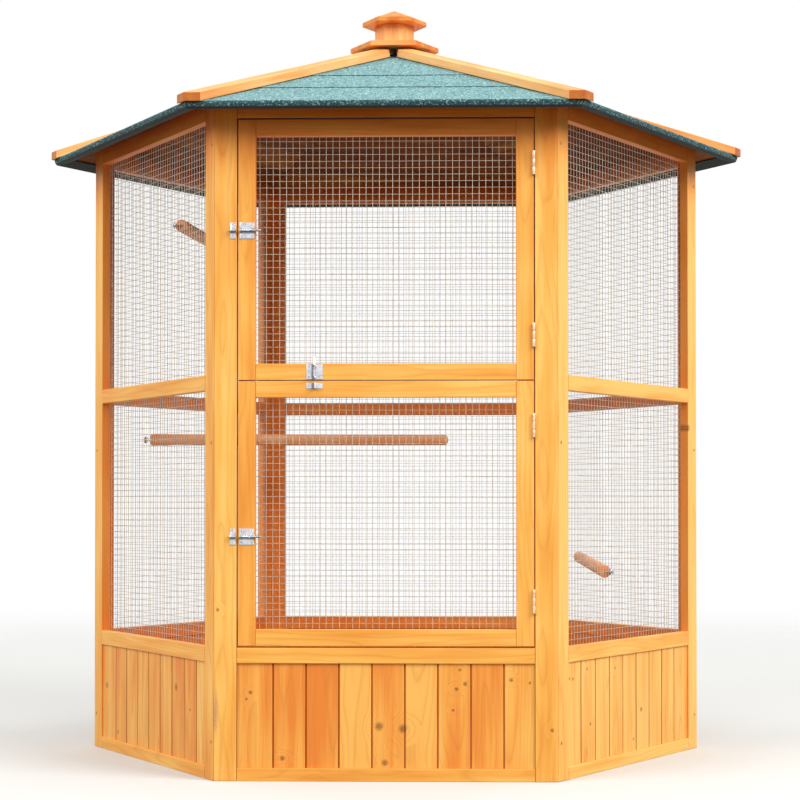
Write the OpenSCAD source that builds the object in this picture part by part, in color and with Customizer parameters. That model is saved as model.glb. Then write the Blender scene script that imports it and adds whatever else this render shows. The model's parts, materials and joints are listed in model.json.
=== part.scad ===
// Hexagonal garden aviary: six framed wall panels with wire mesh above and
// tongue-and-groove boards below, two front doors one over the other, and a
// felted six-sided roof with wooden hip caps and a finial.
// Millimetres, Z up. The origin is the centre of the footprint at ground level,
// and the front panel faces -Y.

/* [Walls] */
// Outer length of one side of the hexagon, corner to corner
side = 720; // [660:10:800]
// Height of the wall panels at their outer face
wall_h = 1425; // [1400:1:1480]
// Thickness of every panel and door frame
frame_t = 20; // [16:1:24]
// Width of the upright stile at each end of a wall panel
stile_w = 48; // [42:1:56]
// Height of the bottom rail
bottom_rail_h = 27; // [22:1:34]
// Height of the boarded part between the bottom rail and the sill rail
boards_h = 219; // [180:1:260]
// Height of the sill rail over the boards
sill_rail_h = 33; // [28:1:40]
// Height of the middle rail of a mesh panel
mid_rail_h = 33; // [26:1:38]
// Height of the lower edge of the middle rail above the ground
mid_rail_z = 819; // [740:1:880]
// Height of the top rail at its outer face
top_rail_h = 35; // [26:1:60]

/* [Boards] */
// Width that each tongue-and-groove board covers
board_cover = 69; // [60:1:90]
// Width of the first board at the left of the front panel
front_first_board = 76; // [40:1:90]
// Width of the first board at the left of the front left panel
front_left_first_board = 86; // [40:1:90]
// Width of the first board at the left of the other panels
first_board = 66; // [40:1:90]
// Thickness of the boards
board_t = 12; // [9:1:14]
// Depth of the boards' outer face behind the frame's face
board_setback = 4; // [0:1:6]
// Width of the V groove between two boards
groove_w = 4; // [2:0.5:6]
// Depth of the V groove between two boards
groove_d = 2.5; // [1:0.5:4]

/* [Wire mesh] */
// Spacing of the welded mesh's wires
mesh_pitch = 14; // [12:1:18]
// Of the mesh's wires, one in this many is modelled
mesh_step = 3; // [3:1:5]
// Thickness of a modelled wire
wire_t = 2; // [1:0.5:3]
// Lap of the mesh over the back of its frame
mesh_lap = 8; // [4:1:12]

/* [Doors] */
// Clearance round each door
door_gap = 5; // [5:0.5:8]
// Height of the joint between the upper and the lower door
door_split_z = 838; // [760:1:900]
// Width of a door stile
door_stile_w = 34; // [30:1:44]
// Height of a door rail
door_rail_h = 33; // [28:1:40]

/* [Hinges] */
// Height of a butt hinge
hinge_h = 50; // [40:1:60]
// Radius of the hinge knuckle
knuckle_r = 3.2; // [2.8:0.1:3.6]
// Radius of the hinge pin
pin_r = 1.5; // [1.2:0.1:1.8]
// Thickness of a hinge leaf
leaf_t = 1.2; // [0.8:0.1:1.5]
// Depth of a hinge leaf across the edge of the frame
leaf_w = 16; // [10:1:16]
// Distance from a door's top or bottom edge to the nearest hinge
hinge_inset = 92; // [60:1:140]

/* [Bolts] */
// Radius of the sliding rod of a barrel bolt
rod_r = 2.5; // [2:0.1:3]
// Travel of the rod from drawn back to shot
bolt_travel = 14; // [12:0.5:15]
// Length of each of the two barrels round the rod
barrel_l = 5; // [4:0.5:7]
// Thickness of the barrels' wall
barrel_t = 1.3; // [1:0.1:2]
// Radius of the rod's knob
knob_r = 2; // [1.5:0.1:2.5]
// Height of the rod's knob over the rod's axis
knob_h = 8; // [6:0.5:12]
// Distance of the drawn-back rod from the edge of the gap
rod_inset = 1.5; // [1:0.5:3]
// Height of the bolt's base plate and of its keeper, across the rod
plate_w = 34; // [26:1:38]
// Thickness of the base plate and of the keeper
plate_t = 1.2; // [0.8:0.1:2]
// Width of the keeper, along the rod
keeper_w = 12; // [9:0.5:14]
// Distance of the keeper from the edge that it is screwed beside
keeper_inset = 2.5; // [1:0.5:4]
// Height of the upper door's bolt above the ground
upper_bolt_z = 1153; // [1000:1:1200]
// Height of the lower door's bolt above the ground
lower_bolt_z = 511; // [420:1:600]
// Distance of the bolt between the doors from the middle, to the left
mid_bolt_x = 149; // [40:1:200]

/* [Roof] */
// Slope of the roof panels
roof_pitch = 19.6; // [15:0.1:24]
// Level overhang of the eaves in front of the wall panels
eave_out = 83; // [60:1:110]
// Thickness of the roof boards
deck_t = 12; // [10:1:18]
// Thickness of the roofing felt
felt_t = 3; // [2:0.5:4]
// Width of the felt folded under the eaves
felt_return = 40; // [25:5:50]
// Rounding of the folded felt edge
felt_round = 7; // [4:1:8]
// Width of a hip cap
cap_w = 61; // [50:1:70]
// Thickness of a hip cap
cap_t = 18; // [14:1:22]
// Distance between the upper ends of neighbouring hip caps
cap_gap = 16; // [8:1:24]
// Reach of the pointed ends of the hip caps beyond the eaves
cap_out = 6; // [2:1:16]

/* [Finial] */
// Radius of the finial's base over its corners
finial_base_r = 106; // [95:1:120]
// Height of the edge of the finial's base
finial_base_h = 12; // [10:1:20]
// Rise of the slope on top of the finial's base
finial_base_rise = 4; // [2:1:12]
// Radius of the finial's neck over its corners
finial_neck_r = 47; // [38:1:56]
// Height of the finial's neck above the base
finial_neck_h = 47; // [30:1:60]
// Radius of the finial's cap over its corners
finial_cap_r = 77; // [66:1:90]
// Height of the edge of the finial's cap
finial_cap_h = 11; // [8:1:16]
// Rise of the low pyramid on the finial's cap
finial_cap_rise = 28; // [15:1:36]

/* [Perches] */
// Diameter of a perch
perch_d = 28; // [18:1:32]
// Depth of the hole for a screw in a perch's end
perch_hole = 16; // [10:1:25]
// Low perch on the right: from the front right panel's middle to its end
low_front_reach = 63; // [60:14:160]
// Height of that end above the ground
low_front_z = 430; // [360:14:500]
// Low perch: from the back right panel's middle to its end
low_back_reach = 91; // [60:14:160]
// Height of that end above the ground
low_back_z = 444; // [360:14:500]
// Middle perch: from the back panel's middle to its right end
mid_right_reach = 119; // [60:14:175]
// Height of that end above the ground
mid_right_z = 752; // [600:14:780]
// Middle perch: from the back left panel's middle to its left end
mid_left_reach = 189; // [60:14:200]
// Height of that end above the ground
mid_left_z = 738; // [600:14:780]
// High perch on the left: from the back left panel's middle to its end
high_back_reach = 161; // [60:14:175]
// Height of that end above the ground
high_back_z = 1226; // [1000:14:1300]
// High perch: from the front left panel's middle to its end
high_front_reach = 91; // [60:14:175]
// Height of that end above the ground
high_front_z = 1198; // [1000:14:1300]
// Diameter of the washers that hold a perch to the mesh
washer_d = 17; // [15:1:30]
// Thickness of the washers
washer_t = 1.5; // [1:0.5:3]
// Diameter of a perch screw's shank
screw_d = 4; // [3:0.5:6]
// Diameter of a perch screw's head
screw_head_d = 8; // [6:0.5:12]
// Height of a perch screw's head
screw_head_h = 2.5; // [1.5:0.5:4]

/* [Hidden] */
$fn = 48;

// Turn about Z that brings the front panel to each place.
front = 0;
front_right = front + 60;
back_right = front_right + 60;
back = back_right + 60;
back_left = back + 60;
front_left = back_left + 60;

clear = 0.3;                        // between a seated piece and its seat
fit = 0.1;                          // radial play of a pin or rod in its bore
mitre_gap = 0.1;                    // from each mitred face to the corner's plane
wood = "#f0a04a";
board_wood = "#e89a45";
inner_wood = "#b5602e";
felt = "#5d938a";
zinc = "#c9cbc8";

apothem = side * cos(30);
panel_in = side - 2 * stile_w;      // between the stiles of a panel
sill_z = bottom_rail_h + boards_h;
sill_top = sill_z + sill_rail_h;
top_rail_z = wall_h - top_rail_h;
mid_top = mid_rail_z + mid_rail_h;
low_mid_z = (sill_top + mid_rail_z) / 2;
high_mid_z = (mid_top + top_rail_z) / 2;
mesh_y = frame_t;                   // the mesh lies on the back of the frame
mesh_t = 2 * wire_t - clear;        // the two layers of wire bite into each other
grid = mesh_pitch * mesh_step;

door_w = panel_in - 2 * door_gap;
door_in = door_w - 2 * door_stile_w;
door_top = top_rail_z - door_gap;
door_bottom = sill_top + door_gap;
upper_bottom = door_split_z + door_gap / 2;
lower_top = door_split_z - door_gap / 2;

hinge_x = panel_in / 2 - door_gap / 2;
hinge_y = -knuckle_r - clear;
upper_hinges = [upper_bottom + hinge_inset, door_top - hinge_inset];
lower_hinges = [door_bottom + hinge_inset, lower_top - hinge_inset];

// Along the bolt, from the middle of the gap: back and front barrel, knob.
barrel_r = rod_r + fit + barrel_t;
rod_y = plate_t + barrel_r;         // height of the rod's axis over the face
bolt_nose = -door_gap / 2 - rod_inset;
front_barrel = bolt_nose - barrel_l;
knob_rest = front_barrel - knob_r - clear - bolt_travel;
rear_barrel = knob_rest - knob_r - clear - barrel_l;
plate_end = rear_barrel - plate_t;
rod_l = bolt_nose + bolt_travel - plate_end;    // still in the rear barrel when shot
keeper_start = door_gap / 2 + keeper_inset;

hip_pitch = atan(tan(roof_pitch) * cos(30));
// Fall of the roof to each side in a section square to the hip.
hip_fall = atan(sin(roof_pitch) * sin(30)
    / (sin(hip_pitch) * sin(roof_pitch) * cos(30) + cos(hip_pitch) * cos(roof_pitch)));
roof_t = deck_t + felt_t;
felt_apex_z = wall_h + apothem * tan(roof_pitch) + roof_t / cos(roof_pitch);
eave_edge = apothem + eave_out + deck_t * sin(roof_pitch);
cap_corner = (eave_edge + cap_out) / cos(30);
cap_start = (cap_gap / 2 + cap_w / 2 * cos(30)) / sin(30);
cap_start_z = felt_apex_z - cap_start * tan(hip_pitch) + clear;
hip_gap = 1;
finial_z = cap_start_z + cap_t / cos(hip_pitch) + clear;

// The middle of the mesh cell that holds a point at d from the mesh's middle.
function in_cell(d) = (floor(d / mesh_pitch) + 0.5) * mesh_pitch;

// How far a square-cut perch end stays from the mesh, so that its rim only just misses it.
perch_stand = perch_d * 0.46 + clear;

// ---- placing ----

// A panel's own frame: X along the side, Y inwards from the outer face.
module panel(turn) {
    rotate([0, 0, turn]) translate([0, -apothem, 0]) children();
}

// The space under the roof boards, in a panel's own frame.
module under_roof() {
    rotate([roof_pitch, 0, 0])
        translate([-side, -2 * side, -3 * wall_h]) cube([2 * side, 4 * side, 3 * wall_h]);
}

// ---- wall panels ----

// The two stiles of a panel, each mitred down its outer edge.
module stiles() {
    edge = side / 2 - mitre_gap / cos(30);
    color(wood) for (s = [-1, 1]) intersection() {
        linear_extrude(wall_h + frame_t)
            polygon([[s * edge, 0], [s * panel_in / 2, 0], [s * panel_in / 2, frame_t],
                [s * (edge - frame_t * tan(30)), frame_t]]);
        translate([0, 0, wall_h]) under_roof();
    }
}

module rail(z, h) {
    translate([-panel_in / 2, 0, z]) cube([panel_in, frame_t, h]);
}

module top_rail(z) {
    intersection() {
        rail(z, wall_h + frame_t - z);
        translate([0, 0, wall_h]) under_roof();
    }
}

module mesh_panel_rails() {
    color(wood) {
        rail(0, bottom_rail_h);
        rail(sill_z, sill_rail_h);
        rail(mid_rail_z, mid_rail_h);
        top_rail(top_rail_z);
    }
}

module front_rails() {
    color(wood) panel(front) {
        rail(0, bottom_rail_h);
        rail(sill_z, sill_rail_h);
        top_rail(top_rail_z);
    }
}

// Tongue-and-groove boards, as one sheet with a V groove at each joint.
module boards(first) {
    joints = [for (x = [first - panel_in / 2 : board_cover : panel_in / 2 - 2 * groove_w]) x];
    color(board_wood) translate([0, board_setback, bottom_rail_h]) linear_extrude(boards_h)
        polygon(concat([[-panel_in / 2, 0]],
            [for (x = joints) each [[x - groove_w / 2, 0], [x, groove_d], [x + groove_w / 2, 0]]],
            [[panel_in / 2, 0], [panel_in / 2, board_t], [-panel_in / 2, board_t]]));
}

// Welded mesh over an opening of width w and height h, centred on the origin.
// Upright wires lie on the frame and level wires cross behind them.
module mesh(w, h) {
    nx = floor((w / 2 + mesh_lap) / grid);
    nz = floor((h / 2 + mesh_lap) / grid);
    color(zinc) {
        for (i = [-nx : nx])
            translate([i * grid - wire_t / 2, 0, -h / 2 - mesh_lap])
                cube([wire_t, wire_t, h + 2 * mesh_lap]);
        for (i = [-nz : nz])
            translate([-w / 2 - mesh_lap, wire_t - clear, i * grid - wire_t / 2])
                cube([w + 2 * mesh_lap, wire_t, wire_t]);
    }
}

module panel_mesh() {
    translate([0, mesh_y, low_mid_z]) mesh(panel_in, mid_rail_z - sill_top);
    translate([0, mesh_y, high_mid_z]) mesh(panel_in, top_rail_z - mid_top);
}

// ---- doors ----

module door_stiles(z0, z1) {
    color(wood) panel(front) for (s = [-1, 1])
        translate([s * (door_w - door_stile_w) / 2 - door_stile_w / 2, 0, z0])
            cube([door_stile_w, frame_t, z1 - z0]);
}

module door_rails(z0, z1) {
    color(wood) panel(front) for (z = [z0, z1 - door_rail_h])
        translate([-door_in / 2, 0, z]) cube([door_in, frame_t, door_rail_h]);
}

module door_mesh(z0, z1) {
    panel(front) translate([0, mesh_y, (z0 + z1) / 2])
        mesh(door_in, z1 - z0 - 2 * door_rail_h);
}

// ---- hinges ----

// One leaf of a butt hinge, from the middle of its height. The leaf lies on the
// edge at x = edge, and dir points from the edge to the gap.
module leaf(edge, dir) {
    x0 = min(edge, edge + dir * leaf_t);
    translate([x0, 0, -hinge_h / 2]) cube([leaf_t, leaf_w, hinge_h]);
}

module knuckle(edge, dir, z0, z1) {
    x0 = min(edge, edge + dir * leaf_t);
    translate([hinge_x, hinge_y, z0]) cylinder(r = knuckle_r, h = z1 - z0);
    translate([x0, hinge_y, z0]) cube([leaf_t, -hinge_y, z1 - z0]);
}

knuckle_h = hinge_h / 3 - clear;

module frame_leaf() {
    edge = panel_in / 2;
    leaf(edge, -1);
    knuckle(edge, -1, hinge_h / 2 - knuckle_h, hinge_h / 2);
    knuckle(edge, -1, -hinge_h / 2, -hinge_h / 2 + knuckle_h);
    translate([hinge_x, hinge_y, -hinge_h / 2]) cylinder(r = pin_r, h = hinge_h);
}

module door_leaf() {
    edge = door_w / 2;
    difference() {
        union() {
            leaf(edge, 1);
            knuckle(edge, 1, -knuckle_h / 2, knuckle_h / 2);
        }
        translate([hinge_x, hinge_y, -hinge_h]) cylinder(r = pin_r + fit, h = 2 * hinge_h);
    }
}

module frame_hinge_leaves() {
    color(zinc) panel(front) for (z = concat(lower_hinges, upper_hinges))
        translate([0, 0, z]) frame_leaf();
}

module door_hinge_leaves(heights) {
    color(zinc) panel(front) for (z = heights) translate([0, 0, z]) door_leaf();
}

// ---- barrel bolts ----

// A bolt's own frame: X along the throw from the middle of the gap, Z outwards.
module barrel(x0, l, bore) {
    difference() {
        union() {
            translate([x0, 0, rod_y]) rotate([0, 90, 0]) cylinder(r = barrel_r, h = l);
            translate([x0, -barrel_r, 0]) cube([l, 2 * barrel_r, rod_y]);
        }
        translate([x0 - 1, 0, rod_y]) rotate([0, 90, 0]) cylinder(r = bore, h = l + 2);
    }
}

module bolt_plate() {
    translate([plate_end, -plate_w / 2, 0])
        cube([-door_gap / 2 - plate_end, plate_w, plate_t]);
    barrel(front_barrel, barrel_l, rod_r + fit);
    barrel(rear_barrel, barrel_l, rod_r + fit);
}

module bolt_rod() {
    color(zinc) {
        translate([bolt_nose - rod_l, 0, rod_y]) rotate([0, 90, 0])
            cylinder(r = rod_r, h = rod_l);
        translate([knob_rest, 0, rod_y]) cylinder(r = knob_r, h = knob_h);
    }
}

module keeper() {
    translate([keeper_start, -plate_w / 2, 0]) cube([keeper_w, plate_w, plate_t]);
    barrel(keeper_start, keeper_w, rod_r + clear);
}

// Bolt places: on the left gap at height z, and on the joint between the doors.
module at_left_gap(z) {
    panel(front) translate([-hinge_x, 0, z]) rotate([90, 180, 0]) children();
}

module at_split() {
    panel(front) translate([-mid_bolt_x, 0, door_split_z]) rotate([90, 90, 0]) children();
}

module upper_door_bolt_plates() {
    color(zinc) {
        at_left_gap(upper_bolt_z) bolt_plate();
        at_split() bolt_plate();
    }
}

module frame_keepers() {
    color(zinc) for (z = [upper_bolt_z, lower_bolt_z]) at_left_gap(z) keeper();
}

// ---- roof ----

// The wedge of one roof panel between its two hips, cut off under the finial.
module roof_wedge() {
    far = 2 * side;
    linear_extrude(finial_z - clear)
        polygon([[0, -hip_gap], [-far * tan(30), -hip_gap - far], [far * tan(30), -hip_gap - far]]);
}

// A section across the eaves, run along the panel and cut to its wedge. The
// section's X runs up the slope from the wall's face, and its Y out of the slope.
module roof_panel() {
    intersection() {
        translate([0, -apothem, wall_h]) rotate([90, 0, 90])
            linear_extrude(4 * side, center = true) rotate(roof_pitch) children();
        roof_wedge();
    }
}

eave_s = -eave_out / cos(roof_pitch);
slope_l = 2 * apothem;

module deck_section() {
    translate([eave_s + felt_t, 0]) square([slope_l, deck_t]);
}

module felt_section() {
    t = deck_t + 2 * felt_t;
    difference() {
        translate([eave_s, -felt_t]) union() {
            translate([felt_round, 0]) square([slope_l, t]);
            translate([0, felt_round]) square([felt_round, t - 2 * felt_round]);
            for (y = [felt_round, t - felt_round])
                translate([felt_round, y]) circle(r = felt_round);
        }
        deck_section();
        translate([eave_s + felt_return, -2 * felt_t]) square([2 * slope_l, 2 * felt_t]);
    }
}

module roof_boards() {
    color(inner_wood) for (k = [0 : 5]) rotate([0, 0, 60 * k]) roof_panel() deck_section();
}

module roof_felt() {
    color(felt) for (k = [0 : 5]) rotate([0, 0, 60 * k]) roof_panel() felt_section();
}

// A shallow V in section that beds on the two slopes beside a hip.
module cap_section() {
    drop = cap_w / 2 * tan(hip_fall);
    polygon([[-cap_w / 2, -drop], [0, 0], [cap_w / 2, -drop],
        [cap_w / 2, cap_t - drop], [0, cap_t], [-cap_w / 2, cap_t - drop]]);
}

// The lower ends are cut to a point, in line with the eaves on both sides.
module hip_caps() {
    color(wood) for (k = [0 : 5]) intersection() {
        rotate([0, 0, 60 * k]) translate([cap_start, 0, cap_start_z])
            rotate([0, 90 + hip_pitch, 0]) rotate([0, 0, 90]) mirror([0, 1, 0])
                linear_extrude(2 * side) mirror([0, 1]) cap_section();
        hex(cap_corner, 2 * wall_h);
    }
}

// ---- finial ----

module hex(r, h) {
    cylinder(r = r, h = h, $fn = 6);
}

neck_z = finial_z + finial_base_h + finial_base_rise;
finial_cap_z = neck_z + finial_neck_h;

module finial_base() {
    color(wood) translate([0, 0, finial_z]) {
        hex(finial_base_r, finial_base_h);
        translate([0, 0, finial_base_h])
            cylinder(r1 = finial_base_r, r2 = finial_neck_r, h = finial_base_rise, $fn = 6);
    }
}

module finial_neck() {
    color(wood) translate([0, 0, neck_z]) hex(finial_neck_r, finial_neck_h);
}

module finial_cap() {
    color(wood) translate([0, 0, finial_cap_z]) {
        hex(finial_cap_r, finial_cap_h);
        translate([0, 0, finial_cap_h])
            cylinder(r1 = finial_cap_r, r2 = 1, h = finial_cap_rise, $fn = 6);
    }
}

// ---- perches ----

// Each perch: the corner that it crosses, as a turn from +X, and then its two ends. An end is the
// turn from the corner to its panel, its place along that panel and its height.
perch_places = [
    [0, [60, -in_cell(low_front_reach), low_mid_z + in_cell(low_front_z - low_mid_z)],
        [120, in_cell(low_back_reach), low_mid_z + in_cell(low_back_z - low_mid_z)]],
    [120, [60, -in_cell(mid_right_reach), low_mid_z + in_cell(mid_right_z - low_mid_z)],
        [120, in_cell(mid_left_reach), low_mid_z + in_cell(mid_left_z - low_mid_z)]],
    [180, [60, -in_cell(high_back_reach), high_mid_z + in_cell(high_back_z - high_mid_z)],
        [120, in_cell(high_front_reach), high_mid_z + in_cell(high_front_z - high_mid_z)]]];

// A point on a panel, from its place along the panel and its distance from the hexagon's middle.
function on_panel(turn, x, out, z) =
    [x * cos(turn) + out * sin(turn), x * sin(turn) - out * cos(turn), z];

function perch_end(p, e) =
    on_panel(p[0] + e[0], e[1], apothem - mesh_y - mesh_t - perch_stand, e[2]);

module rod_between(a, b, d) {
    v = b - a;
    translate(a) rotate([0, acos(v[2] / norm(v)), atan2(v[1], v[0])]) cylinder(d = d, h = norm(v));
}

module at_perch_end(p, e) {
    rotate([0, 0, p[0] + e[0]]) translate([e[1], -apothem + mesh_y, e[2]]) rotate([90, 0, 0])
        children();
}

module perches() {
    color(inner_wood) for (p = perch_places) difference() {
        rod_between(perch_end(p, p[1]), perch_end(p, p[2]), perch_d);
        for (e = [p[1], p[2]]) at_perch_end(p, e)
            translate([0, 0, -mesh_t - perch_stand - perch_hole])
                cylinder(d = screw_d + 2 * fit, h = perch_stand + perch_hole);
    }
}

// A screw with a washer outside the mesh goes through it into the end of the perch.
module perch_screw() {
    reach = mesh_t + perch_stand + perch_hole - clear;
    translate([0, 0, -reach]) cylinder(d = screw_d, h = reach + clear + washer_t);
    translate([0, 0, clear]) cylinder(d = washer_d, h = washer_t);
    translate([0, 0, clear + washer_t]) cylinder(d = screw_head_d, h = screw_head_h);
}

module perch_screws() {
    color(zinc) for (p = perch_places) for (e = [p[1], p[2]]) at_perch_end(p, e) perch_screw();
}

// ---- nodes ----

panel(front) stiles();  // front_stiles
front_rails();
panel(front) boards(front_first_board);  // front_boards
panel(front_left) stiles();  // front_left_stiles
panel(front_left) mesh_panel_rails();  // front_left_rails
panel(front_left) boards(front_left_first_board);  // front_left_boards
panel(front_left) panel_mesh();  // front_left_mesh
panel(back_left) stiles();  // back_left_stiles
panel(back_left) mesh_panel_rails();  // back_left_rails
panel(back_left) boards(first_board);  // back_left_boards
panel(back_left) panel_mesh();  // back_left_mesh
panel(back) stiles();  // back_stiles
panel(back) mesh_panel_rails();  // back_rails
panel(back) boards(first_board);  // back_boards
panel(back) panel_mesh();  // back_mesh
panel(back_right) stiles();  // back_right_stiles
panel(back_right) mesh_panel_rails();  // back_right_rails
panel(back_right) boards(first_board);  // back_right_boards
panel(back_right) panel_mesh();  // back_right_mesh
panel(front_right) stiles();  // front_right_stiles
panel(front_right) mesh_panel_rails();  // front_right_rails
panel(front_right) boards(first_board);  // front_right_boards
panel(front_right) panel_mesh();  // front_right_mesh
door_stiles(upper_bottom, door_top);  // upper_door_stiles
door_rails(upper_bottom, door_top);  // upper_door_rails
door_mesh(upper_bottom, door_top);  // upper_door_mesh
door_stiles(door_bottom, lower_top);  // lower_door_stiles
door_rails(door_bottom, lower_top);  // lower_door_rails
door_mesh(door_bottom, lower_top);  // lower_door_mesh
frame_hinge_leaves();
door_hinge_leaves(upper_hinges);  // upper_door_hinge_leaves
door_hinge_leaves(lower_hinges);  // lower_door_hinge_leaves
upper_door_bolt_plates();
color(zinc) at_left_gap(lower_bolt_z) bolt_plate();  // lower_door_bolt_plate
at_left_gap(upper_bolt_z) bolt_rod();  // upper_bolt
at_split() bolt_rod();  // middle_bolt
at_left_gap(lower_bolt_z) bolt_rod();  // lower_bolt
frame_keepers();
color(zinc) at_split() keeper();  // middle_keeper
roof_boards();
roof_felt();
hip_caps();
finial_base();
finial_neck();
finial_cap();
perches();
perch_screws();
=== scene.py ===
import json
import math
import random
import bmesh
import bpy
import numpy as np
from mathutils import Matrix, Vector, noise

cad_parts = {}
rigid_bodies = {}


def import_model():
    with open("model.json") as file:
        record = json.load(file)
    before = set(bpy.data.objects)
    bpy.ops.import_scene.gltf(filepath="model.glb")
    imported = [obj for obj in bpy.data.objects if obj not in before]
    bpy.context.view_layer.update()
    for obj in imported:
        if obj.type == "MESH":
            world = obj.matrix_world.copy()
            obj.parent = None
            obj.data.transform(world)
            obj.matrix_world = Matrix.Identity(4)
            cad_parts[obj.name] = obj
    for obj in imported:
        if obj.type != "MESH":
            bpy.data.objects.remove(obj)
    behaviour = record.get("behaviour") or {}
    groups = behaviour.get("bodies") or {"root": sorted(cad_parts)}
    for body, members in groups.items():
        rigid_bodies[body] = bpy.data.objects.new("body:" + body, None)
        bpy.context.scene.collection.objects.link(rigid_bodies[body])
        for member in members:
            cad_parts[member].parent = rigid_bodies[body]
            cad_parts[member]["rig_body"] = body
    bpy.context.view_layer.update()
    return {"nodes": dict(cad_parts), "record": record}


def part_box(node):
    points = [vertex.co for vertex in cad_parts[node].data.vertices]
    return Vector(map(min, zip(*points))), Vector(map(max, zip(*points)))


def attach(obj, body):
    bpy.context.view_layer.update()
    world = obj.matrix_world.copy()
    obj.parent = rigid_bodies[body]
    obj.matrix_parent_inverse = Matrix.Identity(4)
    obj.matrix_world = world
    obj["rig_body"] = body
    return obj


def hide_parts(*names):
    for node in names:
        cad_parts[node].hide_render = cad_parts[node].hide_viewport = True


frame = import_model()
nodes = frame["nodes"]
slotOf = {part["node"]: part["material_slot"] for part in frame["record"]["subparts"]}
print("frame loaded:", len(nodes), "nodes")

# The hexagon, read from the frame. In a panel's own axes X runs along the side and Y inwards.
sixth = math.radians(60)
turnsOf = {"front": 0, "front_right": 1, "back_right": 2, "back": 3, "back_left": 4, "front_left": 5}
apothem = -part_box("front_stiles")[0].y


def panelFrame(sixths):
    return Matrix.Rotation(sixth * sixths, 4, "Z") @ Matrix.Translation((0, -apothem, 0))


def sideOf(node):
    return max((side for side in turnsOf if node.startswith(side + "_")), key=len, default="front")


def frameOf(node):
    return panelFrame(turnsOf[sideOf(node)])


def linear(hexColour):
    parts = [int(hexColour[i:i + 2], 16) / 255 for i in (1, 3, 5)]
    return tuple(p / 12.92 if p <= 0.04045 else ((p + 0.055) / 1.055) ** 2.4 for p in parts) + (1.0,)


# An input takes a plain value, a socket, or a node, which stands for its first output. A kind is
# short for a shader's node: "Math" is ShaderNodeMath.
def setInputs(tree, node, values):
    for key, value in values.items():
        if isinstance(value, bpy.types.Node):
            value = value.outputs[0]
        if isinstance(value, bpy.types.NodeSocket):
            tree.links.new(value, node.inputs[key])
        else:
            node.inputs[key].default_value = value


def addNode(tree, kind, values=None, **settings):
    node = tree.nodes.new(kind if "Node" in kind else "ShaderNode" + kind)
    for key, value in settings.items():
        setattr(node, key, value)
    setInputs(tree, node, values or {})
    return node


def setStops(ramp, stops):
    while len(ramp.elements) < len(stops):
        ramp.elements.new(0.5)
    for element, (place, colour) in zip(ramp.elements, stops):
        element.position = place
        element.color = colour if isinstance(colour, tuple) else (colour, colour, colour, 1)


def newMaterial(name):
    material = bpy.data.materials.new(name)
    material.use_nodes = True
    material.node_tree.nodes.clear()
    shader = addNode(material.node_tree, "BsdfPrincipled")
    addNode(material.node_tree, "OutputMaterial", {"Surface": shader})
    return material, material.node_tree, shader


def addObject(name, data):
    item = bpy.data.objects.new(name, data)
    bpy.context.scene.collection.objects.link(item)
    return item


def addPiece(name, mesh, body, slot, material):
    mesh.materials.clear()
    mesh.materials.append(material)
    piece = addObject(name, mesh)
    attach(piece, body)
    return piece


def replaceNode(name, mesh, node, material):
    piece = addPiece(name, mesh, nodes[node]["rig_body"], slotOf[node], material)
    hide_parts(node)
    return piece


# What most pieces share: loose triangles are merged, flat faces joined and sharp edges eased.
meshing = {"merge": 1e-5, "flat": math.radians(0.5), "near": 1e-4, "bevelSteps": 2}


def copyOf(node):
    bm = bmesh.new()
    bm.from_mesh(nodes[node].data)
    return bm


def mergeFlat(bm):
    bmesh.ops.remove_doubles(bm, verts=bm.verts, dist=meshing["merge"])
    bmesh.ops.dissolve_limit(bm, angle_limit=meshing["flat"], verts=bm.verts, edges=bm.edges)


def easeEdges(bm, ease, angle):
    sharp = [e for e in bm.edges if e.is_manifold and e.calc_face_angle() > math.radians(angle)]
    bmesh.ops.bevel(bm, geom=sharp, offset=ease, segments=meshing["bevelSteps"], profile=0.5, affect="EDGES")


def meshFrom(bm, name):
    mesh = bpy.data.meshes.new(name)
    bm.to_mesh(mesh)
    bm.free()
    return mesh


def smoothUpTo(mesh, angle):
    mesh.shade_smooth()
    mesh.set_sharp_from_angle(angle=math.radians(angle))


def keepValues(mesh, name, domain, values):
    mesh.attributes.new(name, "FLOAT", domain).data.foreach_set("value", values)


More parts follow.
